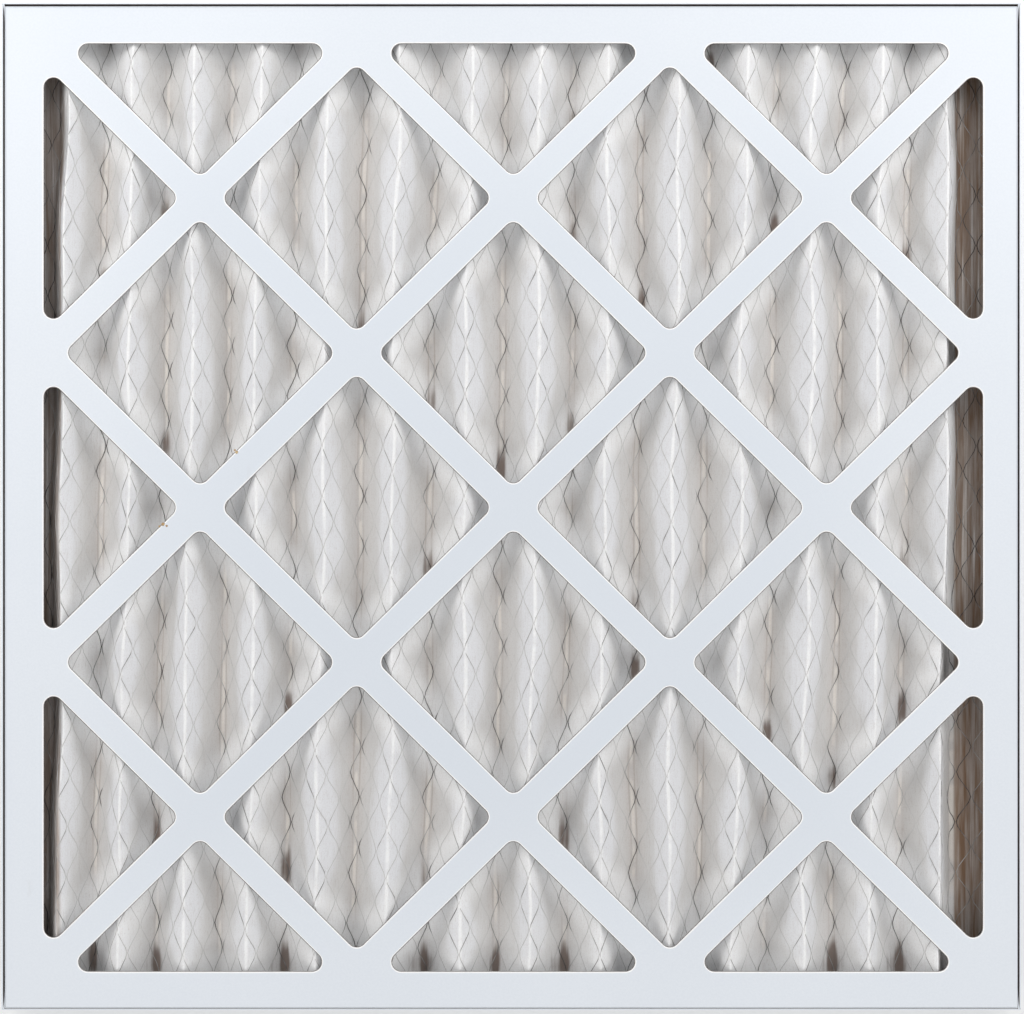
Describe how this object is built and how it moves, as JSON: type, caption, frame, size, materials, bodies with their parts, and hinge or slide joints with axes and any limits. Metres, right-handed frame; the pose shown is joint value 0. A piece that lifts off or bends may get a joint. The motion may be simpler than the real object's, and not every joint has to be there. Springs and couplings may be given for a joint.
{
  "type": "pleated panel air filter",
  "caption": "Flat square pleated air filter: folded filter sheet with expanded metal backing between two nested die-cut board trays with a diagonal strip lattice.",
  "frame": {"origin": "On the plane that the filter lies on, under the centre of the rear (air entering) face.", "axes": "+Z is the direction of air flow and points out of the front (air leaving) face, +Y runs along the pleats, +X runs across the pleats."},
  "size_m": [0.4952, 0.4894, 0.0191],
  "materials": {
    "tray_board": "smooth clay coated white board, faintly blue",
    "filter_media": "lofted white synthetic and cotton felt, warm grey in the folds",
    "backing_metal": "thin grey galvanised expanded metal"
  },
  "bodies": {
    "root": {"rear_tray": "tray_board", "front_tray": "tray_board", "pleated_media": "filter_media", "wire_backing": "backing_metal"}
  },
  "joints": []
}
